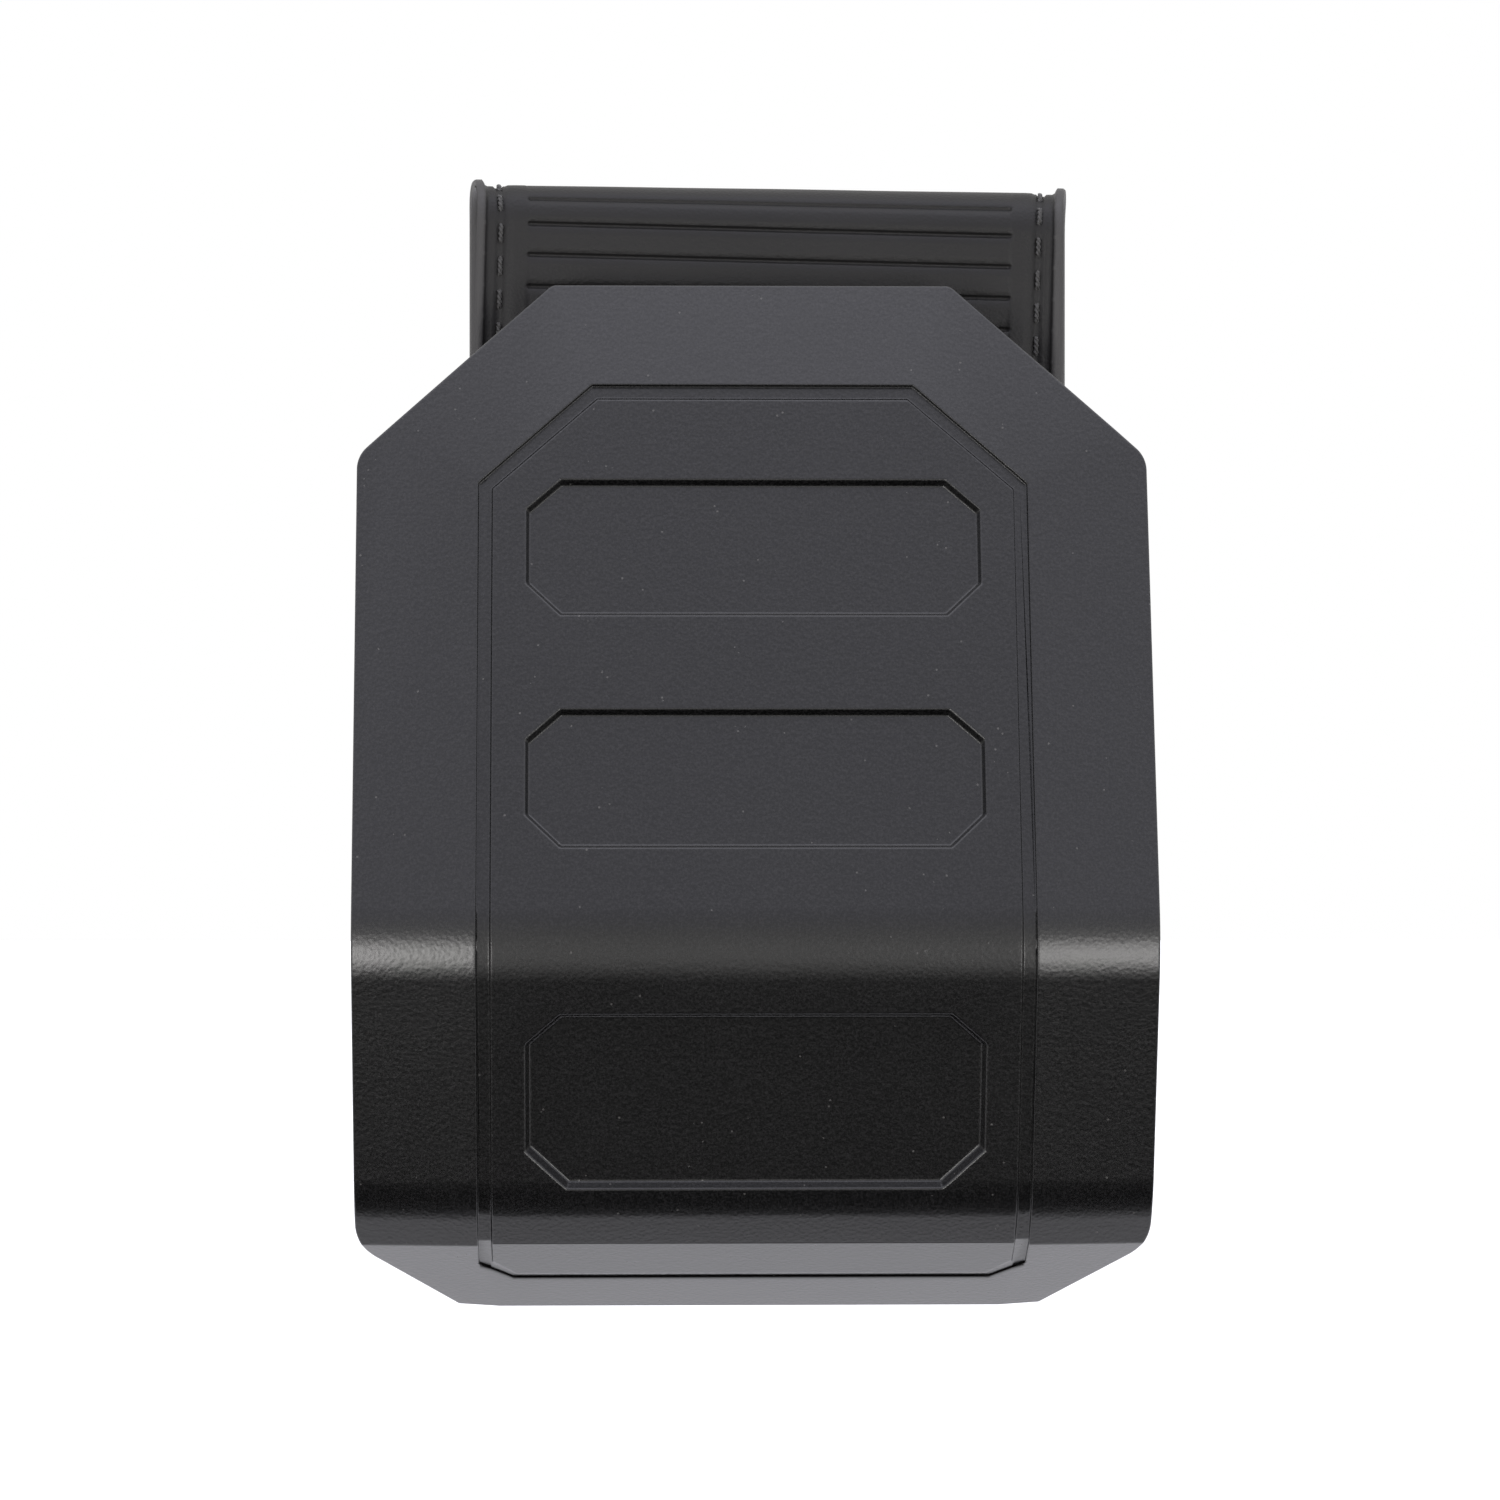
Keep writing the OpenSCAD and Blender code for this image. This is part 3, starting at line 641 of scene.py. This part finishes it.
widening = 1 + (back_extra / strap_half) * ease(s_line, front_run + 2, front_run + arc_run * 0.8)
side_x = abs(x_line)
rim_up = rim_lift * ease(side_x, *rim_inner) - 0.25 * ease(side_x, *rim_outer)
channel = -0.22 * ease(side_x, 40.2, 40.6) * (1 - ease(side_x, 43.5, 43.9)) \
    - 0.34 * ease(side_x, 40.95, 41.35) * (1 - ease(side_x, 42.25, 42.65))
field = 1 - ease(side_x, *field_edge)
trench = sum(1 - ease(abs(s_line - g), 0.17, 0.42) for g in groove_runs)
relief = rim_up + channel \
    - field_sink * field * (1 - ease(s_line, front_run + 8, front_run + 10)) \
    - groove_depth * trench * field + 0.08 * sway(x_line, s_line, 4)
strap_grid = strap_spot(x_line * widening, s_line, relief - 0.03)
strap = fabric("ribbed_strap", strap_grid, 1.5 * MM, turned=True, rim=0.1)

rubber = Finish("ribbed_cover", Specular_IOR_Level=0.26)
skin = rubber.node("TexVoronoi", {"feature": "SMOOTH_F1"},
                   {"Vector": rubber.place, "Scale": 2100.0, "Smoothness": 0.5})
smudge = rubber.noise(45.0, 4.0)
strap_lay = rubber.node("Attribute", {"attribute_name": "lay"}, None, "Vector")
rubbed = abs(rubber.axes(strap_lay)[0]).step(0.0446, 0.0456) * 0.5
rubber.set(Base_Color=rubbed.tint(smudge.tint((0.006, 0.0058, 0.0058), (0.0105, 0.01, 0.01)),
                                  (0.075, 0.073, 0.072)),
           Roughness=0.42 + smudge * 0.14)
rubber.bump(skin + rubber.noise(3200.0) * 0.4, 0.0001, 0.4)
strap.data.materials.append(rubber.material)
fold_start, fold_end = (0, -14 * MM, fold_z * MM - 0.052), (0, -6 * MM, fold_z * MM - 0.052)
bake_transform(strap, "lid", "pouch", start=fold_start, end=fold_end)
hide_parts("strap_cover_front", "strap_cover_back")

# ---------------------------------------------------------------- strap lining
# A thin woven tape sewn to the strap's inner face, so that the fold turns over cloth.
tape_cloth = woven("lining_tape", 0.6 * MM, 0.45 * MM, (0.008, 0.008, 0.008),
                   (0.05, 0.05, 0.05), 0.8, 0.0001)
tape_s = np.concatenate([ring_span(0, front_run, 26), front_run + np.linspace(0, arc_run, 15)[1:],
                         front_run + arc_run + ring_span(0, back_run, 34)[1:]])[:, None]
tape_x = ring_span(-45.2, 45.2, 30)[None, :]
tape_grid = strap_spot(tape_x, tape_s, -1.6)
tape = fabric("strap_tape", tape_grid, 0.75 * MM, turned=True)
tape.data.materials.append(tape_cloth.material)
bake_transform(tape, "lid", "pouch", start=fold_start, end=fold_end)
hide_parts("strap_lining_front", "strap_lining_back")
size, cut = flat_size(tape_grid)

# ---------------------------------------------------------------- strap stitching
# Heavy two-ply thread sewn by machine down both channels, 5 mm to a stitch.
heavy = Finish("heavy_thread", Sheen_Weight=0.15)
ply = heavy.noise(2600.0, 3.0)
heavy.set(Base_Color=ply.tint((0.006, 0.006, 0.006), (0.05, 0.048, 0.046)),
          Roughness=0.5 + ply * 0.2)
heavy.bump(ply, 0.00012, 0.6)
seam_rows = []
for side in (-1, 1):
    s = np.linspace(2.0, front_run + arc_run + back_run - 2, 260)
    x = side * 41.8 * np.interp(s, [front_run, front_run + arc_run], [1, 1.028])
    low, high = strap_spot(x, s, -0.3), strap_spot(x, s, 0.8)
    seam_rows.append(stitches(f"row_{side + 1}", low, high - low, 5.0 * MM, 0.4 * MM, 0.7,
                              sag=0.9))
strap_thread = joined("strap_stitches", seam_rows)
strap_thread.data.materials.append(heavy.material)
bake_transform(strap_thread, "lid", "pouch", start=fold_start, end=fold_end)
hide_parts("strap_thread_front", "strap_thread_back")

# ---------------------------------------------------------------- pouch front
# One panel of heavy coated nylon pack cloth, following the lid a little way inside it. It swells
# slightly between its seams.
pack_cloth = woven("pack_cloth", 0.5 * MM, 0.5 * MM, (0.006, 0.006, 0.0065),
                   (0.038, 0.037, 0.039), 0.62, 0.00014)
levels = ring_span(-38, 38, 44)[:, None]
wide = ring_span(-52.4, 52.4, 50)[None, :]
swell = (1 - (wide / 52.4) ** 4) * (1 - (levels / 38) ** 4)
front_grid = row(wide, lid_y(wide, levels, 4.72) - 0.45 * swell
                 + 0.16 * sway(wide, levels, 6) - 0.05, levels)
pouch_front = fabric("front_panel", front_grid, 1.45 * MM, turned=True)
pouch_front.data.materials.append(pack_cloth.material)
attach(pouch_front, "pouch")
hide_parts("pouch_front")
size, cut = flat_size(front_grid)

# ---------------------------------------------------------------- gusset
# One strip of the same cloth goes down one side, under and up the other. A second, shaped piece
# closes the foot behind the lid's lip.


def bucket_line(inset, top, steps=5):
    """The pouch's outline from the mouth on the right, under, to the mouth on the left."""
    foot, side = outline(inset)[:2]
    half = side[0]
    hip = bend_arc((half, 0), side, foot, 7)
    right = [(half, z) for z in np.linspace(top, hip[0][1], 40)] + [tuple(p) for p in hip[1:-1]]
    heel = bend_arc(hip[-1], foot, (0, foot[1]), 1.5, steps)
    right += [tuple(hip[-1] + (heel[0] - hip[-1]) * t) for t in np.linspace(0, 1, 6)]
    right += [tuple(p) for p in heel[1:]]
    right += [(x, foot[1]) for x in np.linspace(heel[-1][0], 0, 18)[1:]]
    right = np.array(right)
    return np.concatenate([right, (right * [-1, 1])[-2::-1]])


def strip_grid(inset, depth, top, back, cols=16, swell=0.0):
    line = bucket_line(inset, top)
    x, z = line[:, :1], line[:, 1:]
    y0 = np.minimum(lid_y(x, z, depth), back - 3)
    t = ring_span(0, 1, cols, (0.0, 0.012, 0.04))[None, :]
    y = y0 + (back - y0) * t
    push = swell * np.sin(math.pi * t) * ease(z, -45, -30)
    return row(x + np.sign(x) * push, y, z)


def foot_grid(inset, depth, rows=14, cols=44):
    z = ring_span(outline(inset)[0][1] + 0.1, -38, rows)[:, None]
    x = ring_span(-1, 1, cols, (0.0, 0.008, 0.03))[None, :] * (rim_half(z, inset) - 0.3)
    return row(x, np.minimum(lid_y(x, z, depth), 47.5), z)


strip = strip_grid(6.05, 4.7, 38, 47.9, swell=-0.7)
gusset = fabric("gusset_strip", strip, 1.45 * MM)
foot = foot_grid(6.3, 4.7)
foot_panel = fabric("foot_panel", foot, 1.45 * MM, turned=True)
for part, grid in ((gusset, strip), (foot_panel, foot)):
    part.data.materials.append(pack_cloth.material)
    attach(part, "pouch")
    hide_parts("pouch_gusset")
    size, cut = flat_size(grid)

# ---------------------------------------------------------------- front seams
# The front panel is sewn down to the gusset's turned allowance, 4 mm in from each side, and
# across its foot.
seam_runs = []
for side in (-1, 1):
    z = np.linspace(-35.8, 33.4, 60)
    x = side * 50.0 + 0 * z
    seam_runs.append(stitches(f"seam_{side + 1}", row(x, lid_y(x, z, 4.7), z),
                              np.tile([0, -1, 0], (60, 1)), 3.2 * MM, 0.3 * MM))
x = np.linspace(-47, 47, 60)
for z in (-34.6, -41.4):
    seam_runs.append(stitches("seam_foot", row(x, lid_y(x, z + 0 * x, 4.68), z),
                              np.tile([0, -1, -0.3], (60, 1)), 3.2 * MM, 0.28 * MM))
front_seams = joined("front_seam_stitches", seam_runs)
front_seams.data.materials.append(dark_thread.material)
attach(front_seams, "pouch")
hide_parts("front_seam")

# ---------------------------------------------------------------- pouch liner
# A loose bag of thin dark-grey nylon, the pouch's inside face, caught in the mouth binding and
# the back seam.
bag_cloth = woven("liner_cloth", 0.3 * MM, 0.3 * MM, (0.02, 0.02, 0.021), (0.075, 0.075, 0.078),
                  0.5, 0.00006)
levels = ring_span(-40, 37, 40)[:, None]
wide = ring_span(-52.2, 52.2, 44)[None, :]
liner_front = row(wide, lid_y(wide, levels, 6.35) + 0.35 * sway(wide, levels, 9), levels)
liner_strip = strip_grid(7.75, 6.4, 37, 47.9, swell=-0.25)
liner_foot = foot_grid(8.1, 6.35)
for name, grid, way in (("liner_front", liner_front, True), ("liner_strip", liner_strip, False),
                        ("liner_foot", liner_foot, True)):
    part = fabric(name, grid, 0.45 * MM, turned=way)
    part.data.materials.append(bag_cloth.material)
    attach(part, "pouch")
    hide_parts("pouch_liner")
    size, cut = flat_size(grid)

# ---------------------------------------------------------------- mouth binding
# Ribbed binding tape folded over the raw top edges of the front and sides and sewn through.
binding_tape = woven("binding_tape", 0.35 * MM, 0.9 * MM, (0.006, 0.006, 0.006),
                     (0.045, 0.045, 0.046), 0.7, 0.00014)


def mouth_spot(step, out, z):
    """A point by the mouth: step runs from the left side's back edge round to the right's."""
    run = np.interp(step, [0, 0.24, 0.255, 0.745, 0.76, 1], [0, 1, 1.12, 1.88, 2, 3])
    front_x = np.interp(run, [1, 1.12, 1.88, 2], [-54, -53.3, 53.3, 54])
    front_y = lid_y(front_x, z, 4.6)
    edge_y = lid_y(54.0 + 0 * z, z, 4.6) + 0.5
    y = np.where(run < 1, 47.4 + (edge_y - 47.4) * run,
                 np.where(run > 2, edge_y + (47.4 - edge_y) * (run - 2), front_y))
    away_x = np.interp(run, [0, 0.98, 1.12, 1.88, 2.02, 3], [-1, -1, 0, 0, 1, 1])
    away_y = np.interp(run, [0, 0.98, 1.12, 1.88, 2.02, 3], [0, 0, -1, -1, 0, 0])
    reach = np.sqrt(away_x ** 2 + away_y ** 2)
    return row(front_x + out * away_x / reach, y + out * away_y / reach, z)


mouth_steps = np.concatenate([np.linspace(0, 0.235, 16), np.linspace(0.24, 0.26, 6),
                              np.linspace(0.27, 0.73, 46), np.linspace(0.74, 0.76, 6),
                              np.linspace(0.765, 1, 16)])[:, None]
profile_out = np.array([[0.62, 0.66, 0.66, 0.6, 0.2, -0.8, -1.9, -2.5, -2.75, -2.75, -2.7]])
profile_z = np.array([[34.5, 34.9, 36.4, 37.9, 38.5, 38.65, 38.5, 37.9, 36.4, 34.9, 34.5]])
binding_grid = mouth_spot(mouth_steps, profile_out, profile_z)
mouth_tape = fabric("mouth_tape", binding_grid, 0.5 * MM)
walk = np.linspace(0.01, 0.99, 200)
seam_z = 35.6 + 0 * walk
binding_seam = stitches("mouth_stitches", mouth_spot(walk, 0.72, seam_z),
                        mouth_spot(walk, 2.0, seam_z) - mouth_spot(walk, 0.6, seam_z),
                        3.0 * MM, 0.26 * MM)
mouth_tape.data.materials.append(binding_tape.material)
binding_seam.data.materials.append(dark_thread.material)
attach(mouth_tape, "pouch")
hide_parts("mouth_binding")
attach(binding_seam, "pouch")

# ---------------------------------------------------------------- back board
# Stiff fibre board between the back cloth and its liner, with punched holes for the rivets.
board_finish = Finish("fibre_board")
fibre = board_finish.noise(420.0, 5.0)
board_finish.set(Base_Color=fibre.tint((0.014, 0.013, 0.012), (0.045, 0.042, 0.038)),
                 Roughness=0.7 + fibre * 0.2)
board_finish.bump(fibre, 0.00015, 0.6)
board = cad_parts["back_board"]
board.data.materials.clear()
board.data.materials.append(board_finish.material)

# ---------------------------------------------------------------- back panel and back liner
# The back is pack cloth outside and thin nylon inside, laid over the board and bound together
# round the edge.


def back_grid(inset, y, way, swell, seed, rows=60, cols=44):
    corners = outline(inset)
    z = ring_span(corners[0][1], corners[-1][1], rows)[:, None]
    x = ring_span(-1, 1, cols, (0.0, 0.006, 0.02))[None, :] * rim_half(z, inset)
    puff = swell * (1 - (x / 57) ** 6) * (0.4 + 0.6 * sway(x, z, seed))
    return row(x, y + way * puff, z)


for name, grid, thick, turned, node, cloth, slot in (
        ("back_panel", back_grid(3.1, 52.15, 1, 0.22, 11), 1.3, False, "pouch_back", pack_cloth,
         "pouch_cloth"),
        ("back_liner_panel", back_grid(3.1, 48.25, -1, 0.2, 13), 0.5, True, "back_liner",
         bag_cloth, "liner_cloth")):
    part = fabric(name, grid, thick * MM, turned)
    part.data.materials.append(cloth.material)
    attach(part, "pouch")
    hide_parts(node)
    size, cut = flat_size(grid)

# ---------------------------------------------------------------- back binding
# The same ribbed tape folded round the edge of the back and sewn through all layers. It is
# trimmed where the strap and the pouch's sides lie on it.


def edge_line(inset, count=220):
    """The back's outline drawn in by inset, at even steps, clockwise from the middle of its top."""
    foot, side, shoulder, top = outline(inset)
    start, middle, end = (0, top[1]), (side[0], 0), (0, foot[1])
    half = [start]
    for a, b, c, radius, steps in ((start, top, shoulder, 2.5, 4), (top, shoulder, middle, 4.5, 6),
                                   (middle, side, foot, 7, 8), (side, foot, end, 2.5, 4)):
        half += [tuple(p) for p in bend_arc(a, b, c, radius, steps)]
    half.append(end)
    line = np.array(half + [(-x, z) for x, z in half[-2::-1]])
    run = np.concatenate([[0], np.cumsum(np.linalg.norm(np.diff(line, axis=0), axis=1))])
    at = np.linspace(0, run[-1], count)
    return np.stack([np.interp(at, run, line[:, 0]), np.interp(at, run, line[:, 1])], -1)


edge = edge_line(2.75)
tangent = np.gradient(edge, axis=0)
tangent[0] = tangent[-1] = [1, 0]
tangent /= np.linalg.norm(tangent, axis=1, keepdims=True)
inward = np.stack([tangent[:, 1], -tangent[:, 0]], -1)
inward *= -np.sign((inward * edge).sum(axis=1, keepdims=True))
rear_wide = np.where((abs(edge[:, 0]) < 47.2 + shift_x * np.sign(edge[:, 0])) & (edge[:, 1] > 2),
                     0.25, 3.5)
front_wide = np.where(edge[:, 1] < 39.2, 2.0, 3.5)
rear_wide, front_wide = (np.convolve(np.pad(w, 1, mode="wrap"), [0.25, 0.5, 0.25], "valid")
                         for w in (rear_wide, front_wide))
cross_in = np.stack([rear_wide, rear_wide * 0.9, rear_wide * 0.5, 0.3 + 0 * rear_wide,
                     0 * rear_wide, -0.28 + 0 * rear_wide, -0.3 + 0 * rear_wide,
                     -0.28 + 0 * rear_wide, 0 * rear_wide, 0.3 + 0 * rear_wide,
                     front_wide * 0.5, front_wide * 0.9, front_wide], -1)
cross_y = np.array([52.86, 52.94, 52.98, 52.96, 52.8, 52.2, 50.2, 48.2, 47.6, 47.44, 47.42, 47.46,
                    47.54])[None, :] + 0 * cross_in
tape_points = row(edge[:, :1] + inward[:, :1] * cross_in, cross_y,
                  edge[:, 1:] + inward[:, 1:] * cross_in)
back_tape = fabric("back_tape", tape_points, 0.5 * MM, turned=True)
seam_edge = edge_line(5.0)
shown = (abs(seam_edge[:, 0]) > 48 + shift_x * np.sign(seam_edge[:, 0])) | (seam_edge[:, 1] < 2)
above_pouch = seam_edge[:, 1] > 40
first_half = np.arange(len(seam_edge)) < len(seam_edge) // 2
seam_rows = []
for name, where, y, way in (("rear_row", shown, 53.08, 1),
                            ("face_row", above_pouch & first_half, 47.3, -1),
                            ("face_row", above_pouch & ~first_half, 47.3, -1)):
    path = row(seam_edge[where, 0], y, seam_edge[where, 1])
    seam_rows.append(stitches(name, path, np.tile([0, way, 0], (len(path), 1)), 3.0 * MM,
                              0.26 * MM))
binding_rows = joined("back_tape_stitches", seam_rows)
back_tape.data.materials.append(binding_tape.material)
binding_rows.data.materials.append(dark_thread.material)
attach(back_tape, "pouch")
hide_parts("back_binding")
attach(binding_rows, "pouch")

# ---------------------------------------------------------------- loop patch
# Soft loop tape sewn on the pouch's foot, where the lid's hooks press into it.
pile = Finish("looped_pile", Roughness=0.9, Sheen_Weight=0.5)
curl = pile.node("TexVoronoi", {"feature": "SMOOTH_F1"},
                 {"Vector": pile.place, "Scale": 1500.0, "Smoothness": 0.3})
tuft = pile.noise(900.0, 4.0)
pile.set(Base_Color=(curl * 0.7 + tuft * 0.5).tint((0.006, 0.006, 0.006), (0.06, 0.06, 0.062)))
pile.bump(curl + tuft * 0.6, 0.0004, 0.9)
patch_grid = lip_grid(21, 24, 37, 3.92, 60, 20)
tufts = np.sin(np.arange(patch_grid.shape[1]) * 2.4)[None, :] \
    * np.cos(np.arange(patch_grid.shape[0]) * 2.9)[:, None]
patch_grid = patch_grid - (tufts * 0.05 * MM)[..., None] * lip_up
loops = fabric("loop_tape", patch_grid, 0.66 * MM)
loops.data.materials.append(pile.material)
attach(loops, "pouch")
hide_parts("loop_patch")

# ---------------------------------------------------------------- belt loop
# A wide band of heavy webbing riveted and box-sewn to the back at its top. It stands off for the
# belt and its tab snaps back on below, so that it can be opened and worn without unthreading.
web = woven("heavy_webbing", 1.1 * MM, 0.7 * MM, (0.006, 0.006, 0.006), (0.05, 0.05, 0.051), 0.66,
            0.0003)
turns_at = [(55.95, 95), (55.95, 83.0), (63.2, 77.6), (63.2, 26.4), (59.25, 20.5), (59.25, 3)]
loop_line = [np.array(turns_at[0], float)]
for a, b, c in zip(turns_at, turns_at[1:], turns_at[2:]):
    loop_line += bend_arc(a, b, c, 3.0 if b[1] > 80 else 5.0, 7)
loop_line.append(np.array(turns_at[-1], float))
loop_line = np.array(loop_line)
run = np.concatenate([[0], np.cumsum(np.linalg.norm(np.diff(loop_line, axis=0), axis=1))])
at = ring_span(0, run[-1], 96)
path_y, path_z = np.interp(at, run, loop_line[:, 0]), np.interp(at, run, loop_line[:, 1])
off_y, off_z = -np.gradient(path_z), np.gradient(path_y)
reach = np.hypot(off_y, off_z)
off_y, off_z = off_y / reach, off_z / reach
loop_x = ring_span(-28, 28, 30)[None, :]
ridge = 0.12 * np.cos(loop_x * math.pi / 28 * 4) * 0.3 + 1.12
loop_grid = row(loop_x, path_y[:, None] + off_y[:, None] * ridge,
                path_z[:, None] + off_z[:, None] * ridge)
belt_loop = fabric("webbing_loop", loop_grid, 2.25 * MM, turned=True, rim=0.25)
belt_loop.data.materials.append(web.material)
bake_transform(belt_loop, "pouch", "loop", start=(0, 0, 33.5 * MM), end=(0, 0, 30.5 * MM))
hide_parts("belt_loop_anchor", "belt_loop_flap")

# ---------------------------------------------------------------- belt loop stitching
# A sewn box between the two rivets, crossed from corner to corner.
box_x, box_z = 14.5, (86.9, 92.1)
corners = [(-box_x, box_z[0]), (box_x, box_z[0]), (box_x, box_z[1]), (-box_x, box_z[1]),
           (-box_x, box_z[0])]
seam_rows = []
for (x0, z0), (x1, z1) in list(zip(corners, corners[1:])) + [(corners[0], corners[2]),
                                                             (corners[1], corners[3])]:
    t = np.linspace(0.02, 0.98, 12)
    seam_rows.append(stitches("box_row", row(x0 + (x1 - x0) * t, 57.5, z0 + (z1 - z0) * t),
                              np.tile([0, 1, 0], (12, 1)), 2.8 * MM, 0.34 * MM))
loop_stitches = joined("box_stitches", seam_rows)
loop_stitches.data.materials.append(heavy.material)
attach(loop_stitches, "pouch")
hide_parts("loop_thread")

# ---------------------------------------------------------------- rivets and snaps
# Blacked steel rivets with washers inside, and two ring-spring snaps: caps and sockets on the
# tab, studs and their posts on the back.
snap_finish = Finish("snap_black", Metallic=0.75, Coat_Weight=0.25, Coat_Roughness=0.2)
rub = snap_finish.noise(500.0, 4.0)
snap_finish.set(Base_Color=rub.tint((0.014, 0.014, 0.015), (0.05, 0.05, 0.052)),
                Roughness=0.26 + rub * 0.16)
snap_finish.bump(rub, 0.00004, 0.4)
for name, node, body, slot, finish in (
        ("rivet_heads", "anchor_rivets", "pouch", "dark_steel", steel),
        ("washers", "rivet_washers", "pouch", "dark_steel", steel),
        ("caps", "snap_caps", "loop", "snap_black", snap_finish),
        ("sockets", "snap_sockets", "loop", "snap_black", snap_finish),
        ("studs", "snap_studs", "pouch", "snap_black", snap_finish),
        ("posts", "snap_posts", "pouch", "snap_black", snap_finish)):
    part = refined(name, node, 0.22 * MM if node != "rivet_washers" else 0.12 * MM, 20.0, 3)
    part.data.materials.append(finish.material)
    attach(part, body)
    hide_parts(node)
